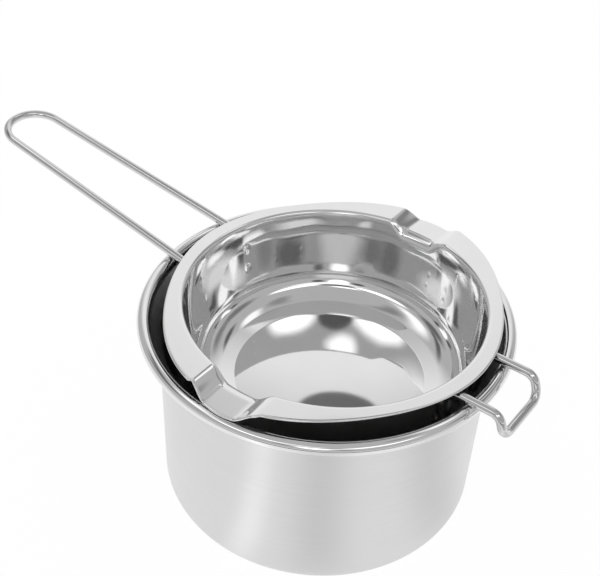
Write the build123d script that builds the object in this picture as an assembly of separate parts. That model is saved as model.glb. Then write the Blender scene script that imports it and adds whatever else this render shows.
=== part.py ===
from build123d import *
import os
from math import asin, atan2, cos, hypot, radians, sin, sqrt, tan

# Double boiler: a drawn water pot and a pressed melting bowl that hangs in it by two wire handles.
# Millimetres, Z up, origin at the middle of the pot's underside, long handle towards -X.

# Sheet and wire stock
SHEET = 0.8
WIRE_D = 3.2

# Water pot
POT_HEIGHT = 80.0
POT_WALL_R = 60.75
POT_TAPER = 0.5
POT_CORNER_R = 7.5
BEAD_R = 2.4
BEAD_OVERHANG = 7.7
CURL_TUCK = 0.5
FLARE_HEIGHT = 9.0
FLARE_BEND_R = 4.0
FLARE_TOP_R = 1.2

# Melting bowl
BOWL_DEPTH = 37.0
BOWL_LEAN = 8.0
FOOT_BEND_R = 2.5
RING_RISE = 5.2
RING_DISH = 8.5
FLOOR_R = 36.2
FLOOR_FALL = 3.0
FLOOR_EDGE_R = 1.5
FLANGE_BEND_R = 1.5
FLANGE_AT_HANDLE = 6.2
FLANGE_AT_CORNER = 6.2
FLANGE_AT_SPOUT = 12.2
FLANGE_TURN = -4.0
BOWL_SHIFT_X = 2.0
BOWL_SHIFT_Y = 1.7

# Pouring spouts, pressed into the flange on both sides of the handles
SPOUT_SHIFT = 1.2
SPOUT_FLOOR_W = 14.4
SPOUT_RAMP_W = 3.6
SPOUT_DEPTH_IN = 3.2
SPOUT_BEND_R = 1.6
SPOUT_LIP = 1.4

# Wire handles
LONG_REACH = 97.2
LONG_RISE = 9.2
LONG_ROOT_W = 28.8
LONG_TIP_W = 22.4
HELPER_REACH = 9.6
HELPER_W = 24.4
HELPER_DROP = 8.4
HELPER_LEAN = 2.8
WIRE_BEND_R = 4.2

# Spot welds, two under each leg
WELD_D = 2.6
WELD_DEPTH = 10.9
WELD_PITCH = 8.4
WELD_END = 2.8

# Fits
REST_GAP = 0.3
FLANGE_GAP = 0.9
WELD_GAP = 0.4
LEG_CLEARANCE = 0.3

# Shortest straight left between two bends
STRAIGHT = 0.04

# Heights and radii that follow from the sizes above
wire_z = POT_HEIGHT + REST_GAP + WIRE_D / 2
flange_z = wire_z + WIRE_D / 2 + FLANGE_GAP + SHEET
floor_z = flange_z - BOWL_DEPTH
bead_r = POT_WALL_R + BEAD_OVERHANG - BEAD_R
bead_z = POT_HEIGHT - BEAD_R
flare_z = POT_HEIGHT - FLARE_HEIGHT
lean = tan(radians(BOWL_LEAN))
slant = cos(radians(BOWL_LEAN))

# Wire legs lie along the bowl's wall and clear the pot where its mouth begins to flare
leg_stack = (SHEET + WELD_GAP + WIRE_D) / slant
shift = hypot(BOWL_SHIFT_X, BOWL_SHIFT_Y)
leg_limit_r = POT_WALL_R - SHEET - LEG_CLEARANCE - shift
open_r = leg_limit_r - leg_stack + (flange_z - flare_z) * lean
weld_top_z = flange_z - WELD_DEPTH
weld_low_z = weld_top_z - WELD_PITCH
foot_z = weld_low_z - WELD_END

# Dished ring between the bowl's floor and the foot of its wall
ring_z = floor_z + RING_RISE
ring_r = open_r - (flange_z - ring_z) * lean
ring_chord = atan2(RING_RISE, ring_r - FLOOR_R)
ring_turn = radians(RING_DISH)
ring_slope = ring_chord - ring_turn
ring_half = hypot(RING_RISE, ring_r - FLOOR_R) / 2 / cos(ring_turn)
foot_turn = radians(90 - BOWL_LEAN) - ring_chord - ring_turn
foot_run = FOOT_BEND_R * tan(foot_turn / 2)

spout_half = SPOUT_FLOOR_W / 2 + SPOUT_RAMP_W
spout_reach = FLANGE_AT_SPOUT + SPOUT_LIP
lip_depth = flange_z - SHEET - REST_GAP - POT_HEIGHT


def side_step(points, distance):
    """Points of a path moved sideways to the right by one distance, mitred at the corners."""
    moved = []
    for i, here in enumerate(points):
        ways = []
        if i > 0:
            ways.append((here - points[i - 1]).normalized())
        if i < len(points) - 1:
            ways.append((points[i + 1] - here).normalized())
        rights = [Vector(way.Y, -way.X) for way in ways]
        total = rights[0] + rights[-1]
        moved.append(here + total * (2 * distance / total.dot(total)))
    return moved


def turns_left(points, i):
    """True where a path bends to the left at its point i."""
    before = points[i] - points[i - 1]
    after = points[i + 1] - points[i]
    return before.cross(after).Z > 0


def sheet_section(path, bend_radii):
    """Face of bent sheet whose upper or inner side follows the path, bent to the given radii."""
    points = [Vector(*p) for p in path]
    back_points = side_step(points, SHEET)
    back_radii = []
    for i, radius in enumerate(bend_radii):
        step = SHEET if turns_left(points, i + 1) else -SHEET
        back_radii.append(radius + step)
    front = FilletPolyline(*points, radius=bend_radii)
    back = FilletPolyline(*back_points, radius=back_radii)
    start = Line(points[0], back_points[0])
    end = Line(points[-1], back_points[-1])
    return make_face(front.edges() + back.edges() + start.edges() + end.edges())


def turned(section):
    """Section drawn as radius and height, turned about the Z axis."""
    return revolve(Plane.XZ * section, Axis.Z)


def water_pot():
    """Drawn shell with a slight taper, a flared mouth and a rolled rim."""
    wall_in = POT_WALL_R - SHEET
    foot_in = wall_in - POT_TAPER
    path = [
        (0, SHEET),
        (foot_in, SHEET),
        (wall_in, flare_z),
        (bead_r - BEAD_R, bead_z - BEAD_R / 2),
        (bead_r - BEAD_R, bead_z + BEAD_R),
        (bead_r + BEAD_R, bead_z + BEAD_R),
        (bead_r + BEAD_R, bead_z - BEAD_R),
        (bead_r - CURL_TUCK, bead_z - BEAD_R),
    ]
    roll = BEAD_R - STRAIGHT
    bends = [POT_CORNER_R - SHEET, FLARE_BEND_R, FLARE_TOP_R, roll, roll, roll]
    return turned(sheet_section(path, bends))


def flange_radius(angle):
    """Flange edge from the bowl's middle: narrow at the handles, wide at the spouts."""
    at_handle = open_r + FLANGE_AT_HANDLE
    at_corner = open_r + FLANGE_AT_CORNER
    at_spout = open_r + FLANGE_AT_SPOUT
    mean = (at_handle + at_spout) / 4
    twofold = (at_handle - at_spout) / 2
    return mean + at_corner / 2 + twofold * cos(2 * angle) + (mean - at_corner / 2) * cos(4 * angle)


def bowl_wall_path():
    """Inner side of the bowl as radius and height, from its middle out past the flange's edge."""
    flange_end = open_r + spout_reach + FLANGE_AT_HANDLE
    crown_r = FLOOR_R / 2
    crown_z = floor_z + crown_r * tan(radians(FLOOR_FALL))
    dish_r = FLOOR_R + ring_half * cos(ring_slope)
    dish_z = floor_z + ring_half * sin(ring_slope)
    return [(0, crown_z), (crown_r, crown_z), (FLOOR_R, floor_z), (dish_r, dish_z), (ring_r, ring_z),
            (open_r, flange_z), (flange_end, flange_z)]


def bowl_bends():
    """Radii of the bends along the bowl's inner side, from the domed floor to the flange."""
    edge_run = FLOOR_EDGE_R * tan((ring_slope + radians(FLOOR_FALL)) / 2)
    dome_r = (FLOOR_R / 2 - edge_run - STRAIGHT) / tan(radians(FLOOR_FALL) / 2)
    dish_bend_r = (ring_half - foot_run - STRAIGHT) / tan(ring_turn)
    return [dome_r, FLOOR_EDGE_R, dish_bend_r, FOOT_BEND_R, FLANGE_BEND_R]


def spout_path(depth):
    """Upper side of a spout across its width, at one pressing depth."""
    edge = spout_half + 2 * SPOUT_BEND_R
    half_floor = SPOUT_FLOOR_W / 2
    low = flange_z - depth
    return [(-edge, flange_z), (-spout_half, flange_z), (-half_floor, low), (half_floor, low),
            (spout_half, flange_z), (edge, flange_z)]


def spout_sections(make):
    """One kind of spout section at the bowl's wall and beyond the lip, facing along Y."""
    inner = open_r - SPOUT_RAMP_W
    outer = open_r + spout_reach + SPOUT_RAMP_W
    slope = (lip_depth - SPOUT_DEPTH_IN) / spout_reach
    sections = []
    for y in (inner, outer):
        depth = SPOUT_DEPTH_IN + (y - open_r) * slope
        sections.append(Pos(SPOUT_SHIFT, y, 0) * (Plane.XZ * make(spout_path(depth))))
    return sections


def spout_sheet(path):
    """Section of the pressed sheet of a spout."""
    return sheet_section(path, [SPOUT_BEND_R] * 4)


def spout_space(path):
    """Section of everything above a spout's sheet."""
    bottom = FilletPolyline(*path, radius=SPOUT_BEND_R)
    above = flange_z + lip_depth
    sides = Polyline(path[0], (path[0][0], above), (path[-1][0], above), path[-1])
    return make_face(bottom.edges() + sides.edges())


def spout_plan():
    """Spout seen from above, ending in the curved lip."""
    edge = spout_half + SPOUT_BEND_R
    reach = open_r + FLANGE_AT_SPOUT
    left = SPOUT_SHIFT - edge
    right = SPOUT_SHIFT + edge
    left_end = sqrt(reach ** 2 - left ** 2)
    right_end = sqrt(reach ** 2 - right ** 2)
    sides = Polyline((left, left_end), (left, 0), (right, 0), (right, right_end))
    lip = ThreePointArc((right, right_end), (SPOUT_SHIFT, reach + SPOUT_LIP), (left, left_end))
    return make_face(sides.edges() + lip.edges())


def upright(plan):
    """Plan carried straight up past the flange."""
    return extrude(plan, flange_z + SHEET, dir=(0, 0, 1))


def bowl_hollow():
    """Inside of the bowl carried on above the flange, used to trim the spouts at the wall."""
    top = flange_z + BOWL_DEPTH
    spread = BOWL_DEPTH * lean
    corners = [(0, floor_z), (open_r - spread, floor_z), (open_r + spread, top), (0, top)]
    return turned(make_face(Polyline(*corners, close=True)))


def melting_bowl():
    """Pressed shell with a domed floor in a dished ring, a shaped flange and two opposite spouts."""
    bowl = turned(sheet_section(bowl_wall_path(), bowl_bends()))
    steps = 48
    edge = []
    for i in range(steps):
        angle = radians(360 * i / steps)
        reach = flange_radius(angle - radians(FLANGE_TURN))
        edge.append((reach * cos(angle), reach * sin(angle)))
    bowl = bowl & upright(make_face(Spline(*edge, periodic=True)))
    space = loft(spout_sections(spout_space), ruled=True)
    spout = loft(spout_sections(spout_sheet), ruled=True)
    spout = (spout & upright(spout_plan())) - bowl_hollow()
    bowl = bowl - space - mirror(space, Plane.XZ)
    return bowl + spout + mirror(spout, Plane.XZ)


def leg_radius(z):
    """Distance of a wire leg's axis from the bowl's axis at one height on the leaning wall."""
    return open_r - (flange_z - z) * lean + (SHEET + WELD_GAP + WIRE_D / 2) / slant


def leg_point(z, half_width, side):
    """Point on a leg's axis on the +X side of the bowl."""
    spread = asin(half_width / leg_radius(wire_z))
    return Vector(leg_radius(z) * cos(spread), side * leg_radius(z) * sin(spread), z)


def wire(points, bend_radii):
    """Round wire along a path of straight runs and bends."""
    path = FilletPolyline(*points, radius=bend_radii)
    return sweep(Plane(path @ 0, z_dir=path % 0) * Circle(WIRE_D / 2), path=path)


def long_bend_z():
    """Height at which the long handle's rising runs turn down into their legs."""
    rest_x = bead_r + BOWL_SHIFT_X
    return wire_z - (rest_x - leg_radius(wire_z)) * tan(radians(LONG_RISE))


def long_handle():
    """Loop of wire that rises away from the pot's rim; drawn towards +X, then turned round."""
    bend_z = long_bend_z()
    tip_x = bead_r + BOWL_SHIFT_X + LONG_REACH * cos(radians(LONG_RISE))
    tip_z = wire_z + LONG_REACH * sin(radians(LONG_RISE))
    halves = []
    for side in (1, -1):
        foot = leg_point(foot_z, LONG_ROOT_W / 2, side)
        bend = leg_point(bend_z, LONG_ROOT_W / 2, side)
        tip = Vector(tip_x, side * LONG_TIP_W / 2, tip_z)
        halves.append([foot, bend, tip])
    points = halves[0] + halves[1][::-1]
    tip_bend = LONG_TIP_W / 2 - STRAIGHT
    return Rot(0, 0, 180) * wire(points, [WIRE_BEND_R, tip_bend, tip_bend, WIRE_BEND_R])


def helper_handle():
    """Short wire grip with its end bar bent down outside the pot."""
    drop_x = bead_r - BOWL_SHIFT_X + HELPER_REACH
    halves = []
    for side in (1, -1):
        foot = leg_point(foot_z, HELPER_W / 2, side)
        bend = leg_point(wire_z, HELPER_W / 2, side)
        brow = Vector(drop_x, side * HELPER_W / 2, wire_z)
        bar = Vector(drop_x + HELPER_LEAN, side * HELPER_W / 2, wire_z - HELPER_DROP)
        halves.append([foot, bend, brow, bar])
    points = halves[0] + halves[1][::-1]
    return wire(points, [WIRE_BEND_R] * 6)


def weld(z, half_width, side):
    """Nugget of metal between a leg and the bowl's wall."""
    leg = leg_point(z, half_width, side)
    outwards = Vector(leg.X, leg.Y, 0).normalized() * slant - Vector(0, 0, sin(radians(BOWL_LEAN)))
    start = leg - outwards * (WIRE_D / 2 + WELD_GAP + SHEET / 2)
    return extrude(Plane(start, z_dir=outwards) * Circle(WELD_D / 2), WIRE_D / 2 + WELD_GAP + SHEET / 2)


def welds(handle, bowl, half_width, turn):
    """Four nuggets under one handle, cut to the faces of the wire and the bowl."""
    nuggets = []
    for side in (1, -1):
        for z in (weld_top_z, weld_low_z):
            nugget = Rot(0, 0, turn) * weld(z, half_width, side)
            nuggets.append(nugget - handle - bowl)
    return nuggets


def main():
    bowl = melting_bowl()
    long_wire = long_handle()
    helper_wire = helper_handle()
    hung = {"melting_bowl": bowl, "long_handle": long_wire, "helper_handle": helper_wire}
    for i, nugget in enumerate(welds(long_wire, bowl, LONG_ROOT_W / 2, 180)):
        hung[f"weld_long_{i + 1}"] = nugget
    for i, nugget in enumerate(welds(helper_wire, bowl, HELPER_W / 2, 0)):
        hung[f"weld_helper_{i + 1}"] = nugget
    nodes = {"water_pot": water_pot()}
    for name, shape in hung.items():
        nodes[name] = Pos(BOWL_SHIFT_X, BOWL_SHIFT_Y, 0) * shape
    os.makedirs("parts", exist_ok=True)
    for name, shape in nodes.items():
        export_step(shape, f"parts/{name}.step")


main()
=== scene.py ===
import math

import bpy
import numpy as np
from mathutils import Matrix, Quaternion, Vector


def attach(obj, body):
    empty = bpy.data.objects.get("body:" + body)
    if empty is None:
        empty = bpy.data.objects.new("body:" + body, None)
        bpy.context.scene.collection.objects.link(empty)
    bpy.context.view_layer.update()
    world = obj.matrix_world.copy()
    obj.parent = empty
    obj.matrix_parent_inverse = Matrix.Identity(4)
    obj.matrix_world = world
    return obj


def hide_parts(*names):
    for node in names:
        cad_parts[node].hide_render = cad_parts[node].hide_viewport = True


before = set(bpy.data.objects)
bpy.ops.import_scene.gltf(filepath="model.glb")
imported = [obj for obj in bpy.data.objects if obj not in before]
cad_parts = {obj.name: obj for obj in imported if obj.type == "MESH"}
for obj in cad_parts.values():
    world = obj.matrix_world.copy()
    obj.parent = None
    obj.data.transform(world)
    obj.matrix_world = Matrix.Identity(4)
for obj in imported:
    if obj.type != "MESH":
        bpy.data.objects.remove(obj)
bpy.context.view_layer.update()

# Double boiler: a satin water pot, and a mirror-polished melting bowl that hangs in it by two wire
# handles. Sizes are millimetres, as the solids have them; MM turns them to metres.
MM = 0.001

# Sheet and wire stock
SHEET = 0.8
WIRE_D = 3.2

# Water pot
POT_HEIGHT = 80.0
POT_WALL_R = 60.75
POT_TAPER = 0.5
POT_CORNER_R = 7.5
BEAD_R = 2.4
BEAD_OVERHANG = 7.7
CURL_TUCK = 0.5
FLARE_HEIGHT = 9.0
FLARE_BEND_R = 4.0
FLARE_TOP_R = 1.2
STRAIGHT = 0.04

# Melting bowl. Its foot bend and the spouts' bends are rounder here, and its floor more domed, than in
# the solids: that is how the polished steel shows them.
BOWL_DEPTH = 37.0
BOWL_LEAN = math.radians(8.0)
FOOT_BEND_R = 10.0
RING_RISE = 5.2
RING_SLOPE = math.radians(12.0)
FLOOR_R = 36.2
FLOOR_FALL = math.radians(4.2)
FLOOR_EDGE_R = 1.5
FLANGE_BEND_R = 1.5
FLANGE_AT_HANDLE = 6.2
FLANGE_AT_CORNER = 6.2
FLANGE_AT_SPOUT = 12.2
FLANGE_TURN = math.radians(-4.0)
BOWL_MIDDLE = Vector((2.0, 1.7, 0.0))

# Press waves in the bowl's wall: for each, its count round the bowl, its climb in radians and its share
WAVE_DEPTH = 0.05
WAVES = ((7, 1.5, 0.6), (12, -2.0, 0.5), (19, 1.0, 0.3), (31, -1.0, 0.12))

# Pouring spouts
SPOUT_SHIFT = 1.2
SPOUT_FLOOR_W = 14.4
SPOUT_RAMP_W = 3.6
SPOUT_DEPTH_IN = 3.2
SPOUT_BEND_R = 2.4
SPOUT_FOOT_R = 1.8
SPOUT_LIP = 1.4
LIP_FULLNESS = 1.5
LIP_ROUNDS = 6
SPOUT_THROAT_R = 4.5
SPOUT_FAIRING = math.radians(30.0)

# Wire handles
LONG_REACH = 97.2
LONG_RISE = math.radians(9.2)
LONG_ROOT_W = 28.8
LONG_TIP_W = 22.4
HELPER_REACH = 9.6
HELPER_W = 24.4
HELPER_DROP = 8.4
HELPER_LEAN = 2.8
WIRE_BEND_R = 4.2
WIRE_END_R = 0.4
END_ROUNDING = 0.3

# Spot welds, and the dents they leave inside the bowl
WELD_WAIST_R = 1.15
WELD_FOOT_R = 1.9
WELD_DEPTH = 10.9
WELD_PITCH = 8.4
WELD_END = 2.8
WELD_BITE = 0.6
WELD_RIPPLE = 0.05
WELD_LOBES = 3
DENT_R = 1.3
DENT_DEPTH = 0.16
DENT_STEEPNESS = 4

# Fits
REST_GAP = 0.3
FLANGE_GAP = 0.9
WELD_GAP = 0.4
LEG_CLEARANCE = 0.3

# Heights and radii that follow
wire_r = WIRE_D / 2
wire_z = POT_HEIGHT + REST_GAP + wire_r
flange_z = wire_z + wire_r + FLANGE_GAP + SHEET
floor_z = flange_z - BOWL_DEPTH
bead_r = POT_WALL_R + BEAD_OVERHANG - BEAD_R
bead_z = POT_HEIGHT - BEAD_R
flare_z = POT_HEIGHT - FLARE_HEIGHT
lean = math.tan(BOWL_LEAN)
slant = math.cos(BOWL_LEAN)

# Wire legs lie along the bowl's wall and clear the pot where its mouth begins to flare
leg_stack = (SHEET + WELD_GAP + WIRE_D) / slant
leg_limit_r = POT_WALL_R - SHEET - LEG_CLEARANCE - BOWL_MIDDLE.length
open_r = leg_limit_r - leg_stack + (flange_z - flare_z) * lean
weld_top_z = flange_z - WELD_DEPTH
weld_low_z = weld_top_z - WELD_PITCH
foot_z = weld_low_z - WELD_END
weld_sink = SHEET / 4

# Domed floor, and the dished ring between it and the foot of the bowl's wall
crown_r = FLOOR_R / 2
crown_z = floor_z + crown_r * math.tan(FLOOR_FALL)
floor_edge_run = FLOOR_EDGE_R * math.tan((RING_SLOPE + FLOOR_FALL) / 2)
crown_bend_r = (crown_r - floor_edge_run - STRAIGHT) / math.tan(FLOOR_FALL / 2)
ring_z = floor_z + RING_RISE
ring_r = open_r - (flange_z - ring_z) * lean
ring_chord = math.atan2(RING_RISE, ring_r - FLOOR_R)
ring_turn = ring_chord - RING_SLOPE
ring_half = math.hypot(RING_RISE, ring_r - FLOOR_R) / 2 / math.cos(ring_turn)
foot_run = FOOT_BEND_R * math.tan((math.pi / 2 - BOWL_LEAN - ring_chord - ring_turn) / 2)
dish_r = FLOOR_R + ring_half * math.cos(RING_SLOPE)
dish_z = floor_z + ring_half * math.sin(RING_SLOPE)
dish_bend_r = (ring_half - foot_run - STRAIGHT) / math.tan(ring_turn)

# Pouring spouts
spout_half = SPOUT_FLOOR_W / 2 + SPOUT_RAMP_W
spout_edge = spout_half + SPOUT_BEND_R
lip_depth = flange_z - SHEET - REST_GAP - POT_HEIGHT
spout_slope = (lip_depth - SPOUT_DEPTH_IN) / (FLANGE_AT_SPOUT + SPOUT_LIP)

# Surface patterns: sizes of the marks that each way of working leaves
RUB_LINE = 0.7
RUB_LENGTH = 45.0
RUB_CLOUD = 18.0
RUB_DEPTH = 0.02
BUFF_CLOUD = 16.0
BUFF_GRAIN = 5.0
BUFF_DEPTH = 0.01
DRAW_MARK = 1.1
DRAW_LENGTH = 30.0
DRAW_DEPTH = 0.03
PRESS_CLOUD = 9.0
DIE_LINE = 0.4
DIE_LENGTH = 25.0
DIE_DEPTH = 0.01
WELD_MOTTLE = 0.6
WELD_RELIEF = 0.06

# Photograph's camera: its place in metres, its angles in degrees, its lens and sensor in millimetres
CAMERA_PLACE = (0.1621, -0.2522, 0.3273)
CAMERA_HEADING = 34.70
CAMERA_PITCH = 38.498
CAMERA_ROLL = 3.04
CAMERA_LENS = 64.56
CAMERA_SENSOR = 36.0

# Studio, in metres and degrees. The bearing is that of the camera as seen from the part.
FLOOR_HALF = 6.0
FLOOR_SHADE = 0.2
FLOOR_GLOW = 1.12
CAMERA_BEARING = 32.73
PANEL_DISTANCE = 4.0
PANEL_STEP = 0.02
PANEL_CUTS = 48
PANEL_CENTRE = 0.06
CARD_SPAN = (0.05, 0.24)
TABLE_EDGE_SPAN = (0.24, 0.8)
CARD_LIFT = 0.001
CARD_SOFT = 0.3
ROOM_GLOW = 0.52
WALL_DISTANCE = 5.0

# How finely the meshes are drawn: columns round a piece, and steps along each bend and straight run
POT_COLUMNS = 256
POT_ARC_STEPS = (14, 10, 8, 14, 14, 14)
POT_RUN_STEPS = (8, 12, 4, 1, 1, 1, 1)
BOWL_COLUMNS = 240
BOWL_ARC_STEPS = (14, 6, 16, 12, 12)
BOWL_RUN_STEPS = (1, 1, 1, 1, 26, 12)
SHEET_EDGE_STEPS = 8
SPOUT_FLOOR_COLUMNS = 6
SPOUT_RAMP_COLUMNS = 26
DENT_COLUMNS = 13
DENT_REACH = 1.6
WIRE_COLUMNS = 28
LONG_ARC_STEPS = (12, 24, 24, 12)
LONG_RUN_STEPS = (6, 40, 1, 40, 6)
HELPER_ARC_STEPS = (14, 14, 14, 14, 14, 14)
HELPER_RUN_STEPS = (6, 6, 2, 6, 2, 6, 6)
WELD_COLUMNS = 20
WELD_STEPS = 9
ON_AXIS = 1e-6

# Sockets of a Mix node that blends two colours
MIX_BY, MIX_FROM, MIX_TO, MIX_OUT = 0, 6, 7, 2


def smooth(t):
    """Eased step from 0 to 1."""
    t = min(max(t, 0.0), 1.0)
    return t * t * (3 - 2 * t)


def bent(points, radii, arc_steps, run_steps):
    """Path of straight runs with rounded corners, each run and arc cut into its number of steps."""
    ends = [(points[0], points[0], None)]
    for before, corner, after, radius in zip(points, points[1:], points[2:], radii):
        back = (before - corner).normalized()
        ahead = (after - corner).normalized()
        half = back.angle(ahead) / 2
        reach = radius / math.tan(half)
        middle = corner + (back + ahead).normalized() * (radius / math.sin(half))
        ends.append((corner + back * reach, corner + ahead * reach, middle))
    ends.append((points[-1], points[-1], None))
    path = []
    for i in range(1, len(ends)):
        start = ends[i - 1][1]
        way = ends[i][0] - start
        for j in range(run_steps[i - 1]):
            path.append(start + way * (j / run_steps[i - 1]))
        first, last, middle = ends[i]
        if middle is None:
            path.append(first)
            continue
        arm = first - middle
        axis = arm.cross(last - middle)
        swing = arm.angle(last - middle)
        for j in range(arc_steps[i - 1]):
            path.append(middle + Quaternion(axis, swing * j / arc_steps[i - 1]) @ arm)
    return path


def skin(name, rings, finishes, finish_of_ring):
    """Closed mesh through rings of points, in order along the surface; a ring of one point is a pole."""
    points = []
    faces = []
    marks = []
    first = 0
    for i, ring in enumerate(rings):
        points.extend(ring)
        if i == 0:
            continue
        last = rings[i - 1]
        start = first
        first = start + len(last)
        count = max(len(ring), len(last))
        for j in range(count):
            k = (j + 1) % count
            if len(last) == 1:
                faces.append((start, first + j, first + k))
            elif len(ring) == 1:
                faces.append((start + j, first, start + k))
            else:
                faces.append((start + j, first + j, first + k, start + k))
            marks.append(finish_of_ring[i])
    mesh = bpy.data.meshes.new(name)
    mesh.from_pydata([Vector(p) * MM for p in points], [], faces)
    mesh.polygons.foreach_set("use_smooth", [True] * len(faces))
    for finish in finishes:
        mesh.materials.append(finish)
    mesh.polygons.foreach_set("material_index", marks)
    mesh.validate()
    made = bpy.data.objects.new(name, mesh)
    bpy.context.scene.collection.objects.link(made)
    return made


def place(made, body, slot, *nodes):
    """The piece rides on its body and stands for its solids, which are hidden; the slot it is given is not
    used.
    """
    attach(made, body)
    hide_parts(*nodes)


def turned_rings(profile, columns):
    """Rings of a section drawn as radius and height, turned about the Z axis."""
    rings = []
    for p in profile:
        if p.x < ON_AXIS:
            rings.append([Vector((0, 0, p.z))])
            continue
        angles = [2 * math.pi * j / columns for j in range(columns)]
        rings.append([Vector((p.x * math.cos(a), p.x * math.sin(a), p.z)) for a in angles])
    return rings


def sheet_back(path):
    """The other side of a sheet, one thickness to the right of a path in the XZ plane."""
    back = []
    for i, p in enumerate(path):
        way = (path[min(i + 1, len(path) - 1)] - path[max(i - 1, 0)]).normalized()
        back.append(p + Vector((way.z, 0, -way.x)) * SHEET)
    return back


def section(*corners):
    """Corners given as radius and height, as points in the XZ plane."""
    return [Vector((r, 0, z)) for r, z in corners]


def water_pot(outside, inside, rolled):
    """Drawn shell with a flared mouth and a rolled rim, which is left bright."""
    wall_in = POT_WALL_R - SHEET
    corners = section(
        (0, SHEET),
        (wall_in - POT_TAPER, SHEET),
        (wall_in, flare_z),
        (bead_r - BEAD_R, bead_z - BEAD_R / 2),
        (bead_r - BEAD_R, bead_z + BEAD_R),
        (bead_r + BEAD_R, bead_z + BEAD_R),
        (bead_r + BEAD_R, bead_z - BEAD_R),
        (bead_r - CURL_TUCK, bead_z - BEAD_R),
    )
    roll = BEAD_R - STRAIGHT
    bends = [POT_CORNER_R - SHEET, FLARE_BEND_R, FLARE_TOP_R, roll, roll, roll]
    path = bent(corners, bends, POT_ARC_STEPS, POT_RUN_STEPS)
    back = sheet_back(path)
    back[0].x = 0
    rings = turned_rings(path + back[::-1], POT_COLUMNS)
    below_rim = 3
    rim = sum(POT_ARC_STEPS[:below_rim]) + sum(POT_RUN_STEPS[:below_rim])
    curl = len(path) - POT_ARC_STEPS[-1] // 2
    finishes = [outside, inside, rolled]
    marks = []
    for i in range(len(rings)):
        if rim <= i < curl:
            marks.append(finishes.index(rolled))
        elif i < len(rings) - rim:
            marks.append(finishes.index(inside))
        else:
            marks.append(finishes.index(outside))
    return skin("water_pot_shell", rings, finishes, marks)


def flange_reach(angle):
    """Flange edge from the bowl's middle: narrow at the handles, wide at the spouts."""
    turn = angle - FLANGE_TURN
    at_handle = open_r + FLANGE_AT_HANDLE
    at_corner = open_r + FLANGE_AT_CORNER
    at_spout = open_r + FLANGE_AT_SPOUT
    mean = (at_handle + at_spout) / 4
    twofold = (at_handle - at_spout) / 2
    fourfold = mean - at_corner / 2
    return mean + at_corner / 2 + twofold * math.cos(2 * turn) + fourfold * math.cos(4 * turn)


def pressed(across, depth):
    """How far a spout lies below the flange at a distance across it, easing from one level to the other."""
    foot = SPOUT_FLOOR_W / 2 - SPOUT_FOOT_R
    return depth * smooth((spout_edge - abs(across)) / (spout_edge - foot))


def lip_point(across):
    """Plan point on a spout's curved lip."""
    x = across + SPOUT_SHIFT
    y = open_r + FLANGE_AT_SPOUT
    nose = SPOUT_LIP * (1 - (across / spout_edge) ** 2) ** LIP_FULLNESS
    for _ in range(LIP_ROUNDS):
        reach = flange_reach(math.atan2(y, x)) + nose
        y = math.sqrt(reach ** 2 - x ** 2)
    return x, y


def spout_columns():
    """Distances across a spout at which the bowl's mesh has a column, close together at the bends."""
    foot = SPOUT_FLOOR_W / 2 - SPOUT_FOOT_R
    floor = np.linspace(0, foot, SPOUT_FLOOR_COLUMNS, endpoint=False)
    ramp = np.linspace(foot, spout_edge, SPOUT_RAMP_COLUMNS)
    half = [*floor, *ramp]
    return [-x for x in half[:0:-1]] + half


def bowl_column(angle, edge_point, drop_in, drop_out, throat):
    """Upper side of the bowl from its middle over the floor, wall and flange, and the way out there."""
    ray = Vector((math.cos(angle), math.sin(angle), 0))
    up = Vector((0, 0, 1))
    crown = ray * crown_r + up * crown_z
    floor_edge = ray * FLOOR_R + up * floor_z
    dish = ray * dish_r + up * dish_z
    foot = ray * ring_r + up * ring_z
    top = ray * (open_r - drop_in * lean) + up * (flange_z - drop_in)
    edge = Vector((*edge_point, flange_z - drop_out))
    way = (edge - top).normalized()
    corners = [up * crown_z, crown, floor_edge, dish, foot, top, edge - way * (SHEET / 2)]
    bends = [crown_bend_r, FLOOR_EDGE_R, dish_bend_r, FOOT_BEND_R, FLANGE_BEND_R + throat]
    return bent(corners, bends, BOWL_ARC_STEPS, BOWL_RUN_STEPS), way


def bowl_columns():
    """All the bowl's columns round its axis, spouts included."""
    columns = []
    borders = []
    for side in (1, -1):
        for across in spout_columns():
            x, y = lip_point(across)
            drop_in = pressed(across, SPOUT_DEPTH_IN)
            drop_out = pressed(across, SPOUT_DEPTH_IN + (y - open_r) * spout_slope)
            angle = side * math.acos(x / (open_r - drop_in * lean))
            throat = (SPOUT_THROAT_R - FLANGE_BEND_R) * drop_in / SPOUT_DEPTH_IN
            columns.append((angle, (x, side * y), drop_in, drop_out, throat))
            if abs(across) == spout_edge:
                borders.append((angle, math.atan2(side * y, x) - angle))
    for angle in plain_angles(borders):
        shift = 0.0
        for border, offset in borders:
            shift += offset * smooth(1 - abs(turn_between(angle, border)) / SPOUT_FAIRING)
        reach = flange_reach(angle + shift)
        edge = (reach * math.cos(angle + shift), reach * math.sin(angle + shift))
        columns.append((angle, edge, 0.0, 0.0, 0.0))
    columns.sort(key=lambda column: column[0] % (2 * math.pi))
    return columns


def turn_between(a, b):
    """Signed angle from b to a, at most half a turn."""
    return (a - b + math.pi) % (2 * math.pi) - math.pi


def leg_angles():
    """Angles round the bowl of the four wire legs."""
    long_spread = math.asin(LONG_ROOT_W / 2 / leg_radius(wire_z))
    helper_spread = math.asin(HELPER_W / 2 / leg_radius(wire_z))
    return [math.pi - long_spread, math.pi + long_spread, helper_spread, -helper_spread]


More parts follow.
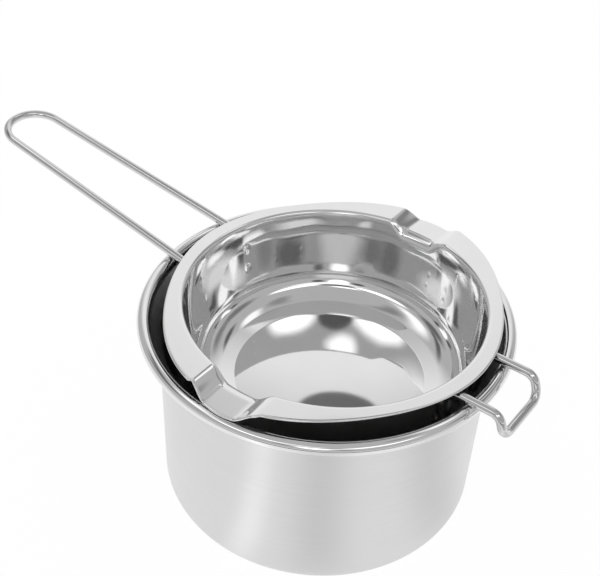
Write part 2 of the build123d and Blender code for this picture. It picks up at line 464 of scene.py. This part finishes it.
def plain_angles(borders):
    """Angles of the columns outside the spouts, closer together at the weld dents."""
    pitch = 2 * math.pi / BOWL_COLUMNS
    apart = pitch / 3
    dent_half = DENT_REACH * DENT_R / open_r
    angles = [i * pitch for i in range(BOWL_COLUMNS)]
    for leg in leg_angles():
        angles = [a for a in angles if abs(turn_between(a, leg)) > dent_half + apart]
        angles += [*np.linspace(leg - dent_half, leg + dent_half, DENT_COLUMNS)]
    kept = []
    for a in angles:
        clear = True
        for i in (0, 2):
            right, left = sorted((borders[i][0], borders[i + 1][0]))
            if right - apart < turn_between(a, 0) < left + apart:
                clear = False
        if clear:
            kept.append(a)
    return kept


def leg_radius(z):
    """Distance of a wire leg's axis from the bowl's axis at one height on the leaning wall."""
    return open_r - (flange_z - z) * lean + (SHEET + WELD_GAP + wire_r) / slant


def leg_point(z, half_width, side):
    """Point on a leg's axis on the +X side of the bowl."""
    spread = math.asin(half_width / leg_radius(wire_z))
    return Vector((leg_radius(z) * math.cos(spread), side * leg_radius(z) * math.sin(spread), z))


def long_bend_z():
    """Height at which the long handle's rising runs turn down into their legs."""
    return wire_z - (bead_r + BOWL_MIDDLE.x - leg_radius(wire_z)) * math.tan(LONG_RISE)


def weld_places():
    """Name, height, half width, side and turn of each of the eight spot welds."""
    places = []
    spots = [(1, weld_top_z), (1, weld_low_z), (-1, weld_top_z), (-1, weld_low_z)]
    for grip, width, turn in (("long", LONG_ROOT_W, math.pi), ("helper", HELPER_W, 0.0)):
        for i, (side, z) in enumerate(spots):
            places.append((f"weld_{grip}_{i + 1}", z, width / 2, side, turn))
    return places


def weld_line(z, half_width, side, turn):
    """Leg's axis point at a weld and the way out from the wall there, in the bowl's frame."""
    leg = leg_point(z, half_width, side)
    leg.rotate(Quaternion((0, 0, 1), turn))
    level = Vector((leg.x, leg.y, 0)).normalized()
    return leg, level * slant - Vector((0, 0, math.sin(BOWL_LEAN)))


def press_waves(points):
    """Shallow waves that the press and the buffing wheel leave round the bowl's wall."""
    angle = np.arctan2(points[:, :, 1], points[:, :, 0])
    height = (points[:, :, 2] - ring_z) / (flange_z - ring_z)
    swell = np.zeros_like(angle)
    for count, climb, share in WAVES:
        swell += share * np.sin(count * angle + climb * height)
    swell *= WAVE_DEPTH * np.clip(4 * height * (1 - height), 0, 1)
    outward = np.stack([np.cos(angle), np.sin(angle), np.zeros_like(angle)], axis=2)
    return outward * swell[:, :, None]


def melting_bowl(polished):
    """Pressed shell with a domed floor, a shaped flange, two pouring spouts and weld dents."""
    columns = bowl_columns()
    paths = []
    ways = []
    for column in columns:
        path, way = bowl_column(*column)
        paths.append(path)
        ways.append(way)
    upper = np.array(paths).transpose(1, 0, 2)
    out = np.array(ways)
    for weld in weld_places():
        leg, square = weld_line(*weld[1:])
        spot = np.array(leg - square * (wire_r + WELD_GAP + SHEET))
        away = np.linalg.norm(upper - spot, axis=2)
        dent = DENT_DEPTH * np.exp(-((away / DENT_R) ** DENT_STEEPNESS))
        upper = upper + dent[:, :, None] * np.array(square)
    upper += press_waves(upper)
    along = np.gradient(upper, axis=0)
    around = np.roll(upper, -1, axis=1) - np.roll(upper, 1, axis=1)
    normal = np.cross(along, around)
    normal[0] = (0, 0, 1)
    normal /= np.linalg.norm(normal, axis=2)[:, :, None]
    half = SHEET / 2
    rings = [upper[0][:1]] + list(upper[1:])
    last = normal[-1]
    for i in range(1, SHEET_EDGE_STEPS):
        a = math.pi * i / SHEET_EDGE_STEPS
        rings.append(upper[-1] - half * last + half * (math.cos(a) * last + math.sin(a) * out))
    lower = upper - SHEET * normal
    rings += list(lower[:0:-1]) + [lower[0][:1]]
    shift = np.array(BOWL_MIDDLE)
    return skin("melting_bowl_shell", [ring + shift for ring in rings], [polished], [0] * len(rings))


def wire_grip(name, path, finish):
    """Round wire along a path, its cut ends slightly rounded."""
    ways = []
    for i in range(len(path)):
        ways.append((path[min(i + 1, len(path) - 1)] - path[max(i - 1, 0)]).normalized())
    side = ways[0].orthogonal().normalized()
    cut_in = WIRE_END_R * END_ROUNDING
    face_r = wire_r - WIRE_END_R
    rings = []
    for i, (p, way) in enumerate(zip(path, ways)):
        if i > 0:
            side = ways[i - 1].rotation_difference(way) @ side
        over = way.cross(side)
        spots = [(0.0, wire_r)]
        if i == 0:
            spots = [(0.0, 0.0), (0.0, face_r), (cut_in, wire_r - cut_in), (WIRE_END_R, wire_r)]
        if i == len(path) - 1:
            spots = [(-WIRE_END_R, wire_r), (-cut_in, wire_r - cut_in), (0.0, face_r), (0.0, 0.0)]
        for ahead, radius in spots:
            middle = p + way * ahead + BOWL_MIDDLE
            if radius == 0.0:
                rings.append([middle])
                continue
            ring = []
            for j in range(WIRE_COLUMNS):
                a = -2 * math.pi * j / WIRE_COLUMNS
                ring.append(middle + (side * math.cos(a) + over * math.sin(a)) * radius)
            rings.append(ring)
    return skin(name, rings, [finish], [0] * len(rings))


def long_handle(finish):
    """Closed loop of wire that rises away from the pot, both legs down the bowl's wall."""
    bend_z = long_bend_z()
    tip_x = bead_r + BOWL_MIDDLE.x + LONG_REACH * math.cos(LONG_RISE)
    tip_z = wire_z + LONG_REACH * math.sin(LONG_RISE)
    halves = []
    for side in (1, -1):
        foot = leg_point(foot_z, LONG_ROOT_W / 2, side)
        bend = leg_point(bend_z, LONG_ROOT_W / 2, side)
        tip = Vector((tip_x, side * LONG_TIP_W / 2, tip_z))
        halves.append([foot, bend, tip])
    points = halves[0] + halves[1][::-1]
    for p in points:
        p.rotate(Quaternion((0, 0, 1), math.pi))
    tip_bend = LONG_TIP_W / 2 - STRAIGHT
    bends = [WIRE_BEND_R, tip_bend, tip_bend, WIRE_BEND_R]
    path = bent(points, bends, LONG_ARC_STEPS, LONG_RUN_STEPS)
    return wire_grip("long_handle_wire", path, finish)


def helper_handle(finish):
    """Short wire grip with its end bar bent down outside the pot."""
    drop_x = bead_r - BOWL_MIDDLE.x + HELPER_REACH
    halves = []
    for side in (1, -1):
        foot = leg_point(foot_z, HELPER_W / 2, side)
        bend = leg_point(wire_z, HELPER_W / 2, side)
        brow = Vector((drop_x, side * HELPER_W / 2, wire_z))
        bar = Vector((drop_x + HELPER_LEAN, side * HELPER_W / 2, wire_z - HELPER_DROP))
        halves.append([foot, bend, brow, bar])
    points = halves[0] + halves[1][::-1]
    bends = [WIRE_BEND_R] * len(HELPER_ARC_STEPS)
    path = bent(points, bends, HELPER_ARC_STEPS, HELPER_RUN_STEPS)
    return wire_grip("helper_handle_wire", path, finish)


def weld_nugget(name, z, half_width, side, turn, finish):
    """Waisted nugget of melted metal between a leg and the bowl's wall."""
    leg, square = weld_line(z, half_width, side, turn)
    start = leg - square * (wire_r + WELD_GAP + weld_sink) + BOWL_MIDDLE
    length = WELD_GAP + weld_sink + wire_r * WELD_BITE
    across = square.orthogonal().normalized()
    over = square.cross(across)
    rings = [[start]]
    for i in range(WELD_STEPS + 1):
        t = i / WELD_STEPS
        radius = WELD_WAIST_R + (WELD_FOOT_R - WELD_WAIST_R) * (1 - t) ** 3
        ring = []
        for j in range(WELD_COLUMNS):
            a = 2 * math.pi * j / WELD_COLUMNS
            ripple = 1 + WELD_RIPPLE * math.sin(WELD_LOBES * a + z)
            spoke = across * math.cos(-a) + over * math.sin(-a)
            ring.append(start + square * (length * t) + spoke * (radius * ripple))
        rings.append(ring)
    rings.append([start + square * length])
    return skin(name + "_nugget", rings, [finish], [0] * len(rings))


def linear(code):
    """Linear colour of an sRGB hex value."""
    parts = [int(code[i:i + 2], 16) / 255 for i in (1, 3, 5)]
    return [c / 12.92 if c <= 0.04045 else ((c + 0.055) / 1.055) ** 2.4 for c in parts] + [1.0]


def add(tree, kind, inputs=(), **settings):
    """A node with its settings, and each input set to a value or linked from another node's output."""
    node = tree.nodes.new(kind)
    for name, value in settings.items():
        setattr(node, name, value)
    for name, value in dict(inputs).items():
        if isinstance(value, bpy.types.NodeSocket):
            tree.links.new(value, node.inputs[name])
        else:
            node.inputs[name].default_value = value
    return node


def new_material(name):
    """Empty node material and its tree."""
    made = bpy.data.materials.new(name)
    made.use_nodes = True
    made.node_tree.nodes.clear()
    return made, made.node_tree


def satin_drawn_steel():
    """Stainless sheet, deep drawn, then rubbed satin round the pot: level hairlines, soft upright bands.

    Real rub lines are about 0.1 mm apart, too fine to show, so they are drawn RUB_LINE apart.
    """
    made, tree = new_material("satin_drawn_steel")
    spot = add(tree, "ShaderNodeTexCoord").outputs["Object"]
    stretch = add(tree, "ShaderNodeMapping", {
        "Vector": spot, "Scale": (1 / RUB_LENGTH / MM, 1 / RUB_LENGTH / MM, 1 / RUB_LINE / MM)})
    lines = add(tree, "ShaderNodeTexNoise", {"Vector": stretch.outputs[0], "Scale": 1.0, "Detail": 4.0})
    cloud = add(tree, "ShaderNodeTexNoise", {"Vector": spot, "Scale": 1 / RUB_CLOUD / MM, "Detail": 2.0})
    tint = add(tree, "ShaderNodeMix", {
        MIX_BY: lines.outputs[0], MIX_FROM: linear("#D5D5D5"), MIX_TO: linear("#DDDDDD")}, data_type="RGBA")
    blur = add(tree, "ShaderNodeMapRange", {"Value": cloud.outputs[0], "To Min": 0.27, "To Max": 0.37})
    relief = add(tree, "ShaderNodeBump", {
        "Strength": 0.1, "Distance": RUB_DEPTH * MM, "Height": lines.outputs[0]})
    around = add(tree, "ShaderNodeTangent", direction_type="RADIAL", axis="Z")
    shader = add(tree, "ShaderNodeBsdfPrincipled", {
        "Base Color": tint.outputs[MIX_OUT], "Metallic": 1.0, "Roughness": blur.outputs[0],
        "Normal": relief.outputs[0], "Tangent": around.outputs[0], "Anisotropic": 0.5,
        "Anisotropic Rotation": 0.25})
    add(tree, "ShaderNodeOutputMaterial", {"Surface": shader.outputs[0]})
    return made


def mirror_polished_steel():
    """Stainless sheet, pressed and buffed to a mirror: clear reflections under a faint, cloudy haze.

    It is a little less than fully metallic, because the buffing haze scatters some light into dark places.
    """
    made, tree = new_material("mirror_polished_steel")
    spot = add(tree, "ShaderNodeTexCoord").outputs["Object"]
    haze = add(tree, "ShaderNodeTexNoise", {"Vector": spot, "Scale": 1 / BUFF_CLOUD / MM, "Detail": 4.0})
    blur = add(tree, "ShaderNodeMapRange", {"Value": haze.outputs[0], "To Min": 0.02, "To Max": 0.06})
    tint = add(tree, "ShaderNodeMix", {
        MIX_BY: haze.outputs[0], MIX_FROM: linear("#E2E2E2"), MIX_TO: linear("#EAEAEA")}, data_type="RGBA")
    grain = add(tree, "ShaderNodeTexNoise", {"Vector": spot, "Scale": 1 / BUFF_GRAIN / MM, "Detail": 2.0})
    relief = add(tree, "ShaderNodeBump", {
        "Strength": 0.2, "Distance": BUFF_DEPTH * MM, "Height": grain.outputs[0]})
    shader = add(tree, "ShaderNodeBsdfPrincipled", {
        "Base Color": tint.outputs[MIX_OUT], "Metallic": 0.93, "Roughness": blur.outputs[0],
        "Normal": relief.outputs[0]})
    add(tree, "ShaderNodeOutputMaterial", {"Surface": shader.outputs[0]})
    return made


def as_pressed_steel():
    """Stainless sheet as it left the press, not polished: dull grey, with draw marks up the wall."""
    made, tree = new_material("as_pressed_steel")
    spot = add(tree, "ShaderNodeTexCoord").outputs["Object"]
    stretch = add(tree, "ShaderNodeMapping", {
        "Vector": spot, "Scale": (1 / DRAW_MARK / MM, 1 / DRAW_MARK / MM, 1 / DRAW_LENGTH / MM)})
    marks = add(tree, "ShaderNodeTexNoise", {"Vector": stretch.outputs[0], "Scale": 1.0, "Detail": 3.0})
    cloud = add(tree, "ShaderNodeTexNoise", {"Vector": spot, "Scale": 1 / PRESS_CLOUD / MM, "Detail": 3.0})
    tint = add(tree, "ShaderNodeMix", {
        MIX_BY: cloud.outputs[0], MIX_FROM: linear("#B8B8B8"), MIX_TO: linear("#D0D0D0")}, data_type="RGBA")
    blur = add(tree, "ShaderNodeMapRange", {"Value": marks.outputs[0], "To Min": 0.28, "To Max": 0.45})
    relief = add(tree, "ShaderNodeBump", {
        "Strength": 0.3, "Distance": DRAW_DEPTH * MM, "Height": marks.outputs[0]})
    shader = add(tree, "ShaderNodeBsdfPrincipled", {
        "Base Color": tint.outputs[MIX_OUT], "Metallic": 1.0, "Roughness": blur.outputs[0],
        "Normal": relief.outputs[0]})
    add(tree, "ShaderNodeOutputMaterial", {"Surface": shader.outputs[0]})
    return made


def bright_drawn_wire():
    """Stainless wire drawn bright through a die: sharp light and dark lines, fine die lines along it.

    Real die lines are about 0.05 mm apart, too fine to show, so they are drawn DIE_LINE apart.
    """
    made, tree = new_material("bright_drawn_wire")
    spot = add(tree, "ShaderNodeTexCoord").outputs["Object"]
    stretch = add(tree, "ShaderNodeMapping", {
        "Vector": spot, "Scale": (1 / DIE_LENGTH / MM, 1 / DIE_LINE / MM, 1 / DIE_LINE / MM)})
    lines = add(tree, "ShaderNodeTexNoise", {"Vector": stretch.outputs[0], "Scale": 1.0, "Detail": 3.0})
    tint = add(tree, "ShaderNodeMix", {
        MIX_BY: lines.outputs[0], MIX_FROM: linear("#CCCCCC"), MIX_TO: linear("#D8D8D8")}, data_type="RGBA")
    blur = add(tree, "ShaderNodeMapRange", {"Value": lines.outputs[0], "To Min": 0.05, "To Max": 0.12})
    relief = add(tree, "ShaderNodeBump", {
        "Strength": 0.15, "Distance": DIE_DEPTH * MM, "Height": lines.outputs[0]})
    shader = add(tree, "ShaderNodeBsdfPrincipled", {
        "Base Color": tint.outputs[MIX_OUT], "Metallic": 1.0, "Roughness": blur.outputs[0],
        "Normal": relief.outputs[0]})
    add(tree, "ShaderNodeOutputMaterial", {"Surface": shader.outputs[0]})
    return made


def spot_weld_steel():
    """Steel melted and set again between wire and wall: dull grey, with a little brown heat tint."""
    made, tree = new_material("spot_weld_steel")
    spot = add(tree, "ShaderNodeTexCoord").outputs["Object"]
    scale = add(tree, "ShaderNodeTexNoise", {"Vector": spot, "Scale": 1 / WELD_MOTTLE / MM, "Detail": 3.0})
    tint = add(tree, "ShaderNodeMix", {
        MIX_BY: scale.outputs[0], MIX_FROM: linear("#6E6458"), MIX_TO: linear("#A19C95")}, data_type="RGBA")
    blur = add(tree, "ShaderNodeMapRange", {"Value": scale.outputs[0], "To Min": 0.36, "To Max": 0.56})
    relief = add(tree, "ShaderNodeBump", {
        "Strength": 0.5, "Distance": WELD_RELIEF * MM, "Height": scale.outputs[0]})
    shader = add(tree, "ShaderNodeBsdfPrincipled", {
        "Base Color": tint.outputs[MIX_OUT], "Metallic": 1.0, "Roughness": blur.outputs[0],
        "Normal": relief.outputs[0]})
    add(tree, "ShaderNodeOutputMaterial", {"Surface": shader.outputs[0]})
    return made


def photo_camera():
    """Camera at the photograph's place, slightly rolled."""
    view = bpy.data.cameras.new("photo_camera")
    view.lens = CAMERA_LENS
    view.sensor_width = CAMERA_SENSOR
    made = bpy.data.objects.new("photo_camera", view)
    heading = Matrix.Rotation(math.radians(CAMERA_HEADING), 4, "Z")
    pitch = Matrix.Rotation(math.radians(90 - CAMERA_PITCH), 4, "X")
    roll = Matrix.Rotation(math.radians(CAMERA_ROLL), 4, "Z")
    made.matrix_world = Matrix.Translation(CAMERA_PLACE) @ heading @ pitch @ roll
    bpy.context.scene.collection.objects.link(made)
    bpy.context.scene.camera = made


def white_world():
    """White surroundings past the floor, dimmer as a light on it; steel shows the walls in front of them."""
    world = bpy.data.worlds.new("pale_studio")
    bpy.context.scene.world = world
    world.use_nodes = True
    tree = world.node_tree
    tree.nodes.clear()
    ray = add(tree, "ShaderNodeLightPath").outputs
    seen = add(tree, "ShaderNodeMath", {
        0: ray["Is Camera Ray"], 1: ray["Is Glossy Ray"]}, operation="MAXIMUM")
    shown = add(tree, "ShaderNodeMath", {
        0: seen.outputs[0], 1: ray["Is Transmission Ray"]}, operation="MAXIMUM")
    glow = add(tree, "ShaderNodeMapRange", {
        "Value": shown.outputs[0], "To Min": ROOM_GLOW, "To Max": 1.0})
    shine = add(tree, "ShaderNodeBackground", {"Color": linear("#FFFFFF"), "Strength": glow.outputs[0]})
    add(tree, "ShaderNodeOutputWorld", {"Surface": shine.outputs[0]})


def staged(name, points, faces, finish):
    """A mesh that belongs to the studio and not to the part."""
    mesh = bpy.data.meshes.new(name)
    mesh.from_pydata(points, [], faces)
    mesh.materials.append(finish)
    made = bpy.data.objects.new(name, mesh)
    bpy.context.scene.collection.objects.link(made)
    return made


def white_floor():
    """Plain white floor: mostly even white, with a little shade so that the pot keeps its shadow."""
    made, tree = new_material("white_floor_paper")
    glow = add(tree, "ShaderNodeEmission", {"Color": linear("#FFFFFF"), "Strength": FLOOR_GLOW})
    shade = add(tree, "ShaderNodeBsdfDiffuse", {"Color": linear("#FFFFFF")})
    mix = add(tree, "ShaderNodeMixShader", {0: FLOOR_SHADE, 1: glow.outputs[0], 2: shade.outputs[0]})
    add(tree, "ShaderNodeOutputMaterial", {"Surface": mix.outputs[0]})
    h = FLOOR_HALF
    corners = [(-h, -h, 0), (h, -h, 0), (h, h, 0), (-h, h, 0)]
    staged("studio_floor", corners, [(0, 1, 2, 3)], made)


def panel_fabric():
    """Light panels and dark flags: their own brightness, fading out at their edges."""
    made, tree = new_material("studio_panel_fabric")
    glow = add(tree, "ShaderNodeAttribute", attribute_name="glow")
    cover = add(tree, "ShaderNodeAttribute", attribute_name="cover")
    shine = add(tree, "ShaderNodeEmission", {
        "Color": linear("#FFFFFF"), "Strength": glow.outputs["Fac"]})
    clear = add(tree, "ShaderNodeBsdfTransparent")
    mix = add(tree, "ShaderNodeMixShader", {
        0: cover.outputs["Fac"], 1: clear.outputs[0], 2: shine.outputs[0]})
    add(tree, "ShaderNodeOutputMaterial", {"Surface": mix.outputs[0]})
    return made


def fabric_sheet(name, finish, spot_at, cover_at, glow):
    """Sheet over u and v from -1 to 1, seen only in reflections; its cover hides what is behind it."""
    points = []
    cover = []
    faces = []
    for i in range(PANEL_CUTS + 1):
        for j in range(PANEL_CUTS + 1):
            u = 2 * j / PANEL_CUTS - 1
            v = 2 * i / PANEL_CUTS - 1
            points.append(spot_at(u, v))
            cover.append(cover_at(u, v))
            if i < PANEL_CUTS and j < PANEL_CUTS:
                k = i * (PANEL_CUTS + 1) + j
                faces.append((k, k + 1, k + PANEL_CUTS + 2, k + PANEL_CUTS + 1))
    made = staged(name, points, faces, finish)
    made.data.attributes.new("cover", "FLOAT", "POINT").data.foreach_set("value", cover)
    made.data.attributes.new("glow", "FLOAT", "POINT").data.foreach_set("value", [glow] * len(points))
    made.visible_camera = False
    made.visible_diffuse = False
    made.visible_shadow = False


def studio_spot(bearing, height, distance):
    """Place in the studio at a bearing and a height angle in radians, as seen from the part."""
    level = math.cos(height) * distance
    return level * math.sin(bearing), -level * math.cos(bearing), PANEL_CENTRE + math.sin(height) * distance


def studio_panel(name, finish, distance, middle, reach, glow, soft):
    """Oval panel facing the part.

    Its middle and its reach to each side are a bearing and a height angle in degrees, bearings to the
    right of the line from the part to the camera; the third reach is its climb from middle to right end.
    Soft is the share of the reach over which it fades out.
    """
    def spot_at(u, v):
        bearing = math.radians(middle[0] + reach[0] * u + CAMERA_BEARING)
        height = math.radians(middle[1] + reach[1] * v + reach[2] * u)
        return studio_spot(bearing, height, distance)

    def cover_at(u, v):
        return smooth((1 - math.hypot(u, v)) / soft)

    fabric_sheet(name, finish, spot_at, cover_at, glow)


def floor_card(name, finish, middle, reach, span, glow):
    """Card on the floor, round a bearing in degrees and over a span of distances from the pot's axis."""
    def spot_at(u, v):
        bearing = math.radians(middle + reach * u + CAMERA_BEARING)
        level = (span[0] + span[1]) / 2 + v * (span[1] - span[0]) / 2
        return level * math.sin(bearing), -level * math.cos(bearing), CARD_LIFT

    def cover_at(u, v):
        return smooth(1 - abs(u)) * smooth((1 - abs(v)) / CARD_SOFT)

    fabric_sheet(name, finish, spot_at, cover_at, glow)


def studio_walls(finish):
    """Pale grey walls and ceiling all round the studio, behind the panels."""
    def spot_at(u, v):
        return studio_spot(u * math.pi, v * math.pi / 2, WALL_DISTANCE)

    fabric_sheet("studio_walls", finish, spot_at, lambda u, v: 1.0, ROOM_GLOW)


def studio():
    """Walls, a light backdrop behind, softboxes and strips, and dark flags that shape the polished steel.

    A panel's row gives its name, middle, reach, glow and softness; a card's its name, middle, reach, span
    and glow. Later panels hang nearer to the part, in front of the earlier ones.
    """
    fabric = panel_fabric()
    studio_walls(fabric)
    panels = (
        ("backdrop", (180, 5), (42, 62, 0), 1.0, 0.45),
        ("flag_back", (177, 50.4), (9, 4.4, 0), 0.15, 0.15),
        ("softbox_low", (10, 40), (50, 6, 0), 1.4, 0.7),
        ("softbox_left", (-46, 47.5), (36, 5.5, 0), 2.0, 0.45),
        ("softbox_right", (42, 47.5), (32, 5.5, 0), 2.0, 0.45),
        ("softbox_top", (-10, 55), (22, 4, 0), 1.8, 0.6),
        ("flag_camera", (-2, 48.6), (21, 3.2, 0), 0.08, 0.35),
        ("strip_front", (-2, 32), (12, 12, 0), 2.0, 0.5),
        ("flag_front_left", (-19, 32), (8, 7, 0), 0.1, 0.6),
        ("flag_front_right", (16, 30), (7, 7, 0), 0.1, 0.6),
        ("flag_left", (-105, 38), (28, 10, 0), 0.14, 0.7),
        ("flag_left_front", (-66, 36), (22, 8, 0), 0.34, 0.7),
        ("flag_right", (100, 37), (30, 11, 0), 0.2, 0.7),
        ("flag_right_back", (130, 36), (22, 8, 0), 0.24, 0.7),
        ("strip_left", (-112, 57), (58, 8, 0), 1.4, 0.8),
        ("flag_strip_left", (-130, 45), (34, 3.6, 0), 0.12, 0.7),
        ("flag_top_left", (-130, 69), (46, 6, 0), 0.28, 0.8),
        ("strip_right", (147, 57), (26, 5, -5), 1.3, 0.7),
        ("flag_strip_right", (148, 47), (18, 3.4, -4), 0.12, 0.7),
        ("flag_top_right", (120, 69), (42, 6, -2), 0.3, 0.8),
    )
    for i, (name, middle, reach, glow, soft) in enumerate(panels):
        studio_panel(name, fabric, PANEL_DISTANCE - i * PANEL_STEP, middle, reach, glow, soft)
    cards = (
        ("card_left", -28, 11, CARD_SPAN, 1.25),
        ("card_front", 3, 22, CARD_SPAN, 0.8),
        ("card_right", 62, 26, CARD_SPAN, 0.82),
        ("card_table_edge", 0, 120, TABLE_EDGE_SPAN, 0.2),
    )
    for name, middle, reach, span, glow in cards:
        floor_card(name, fabric, middle, reach, span, glow)


photo_camera()
white_world()
white_floor()
studio()

satin = satin_drawn_steel()
polished = mirror_polished_steel()
pressed_steel = as_pressed_steel()
wire_steel = bright_drawn_wire()
weld_steel = spot_weld_steel()

place(water_pot(satin, pressed_steel, polished), "pot", "satin_steel", "water_pot")
place(melting_bowl(polished), "bowl", "polished_steel", "melting_bowl")
place(long_handle(wire_steel), "bowl", "wire_steel", "long_handle")
place(helper_handle(wire_steel), "bowl", "wire_steel", "helper_handle")
for weld in weld_places():
    place(weld_nugget(*weld, weld_steel), "bowl", "weld_steel", weld[0])

bpy.context.scene.view_settings.view_transform = "Standard"
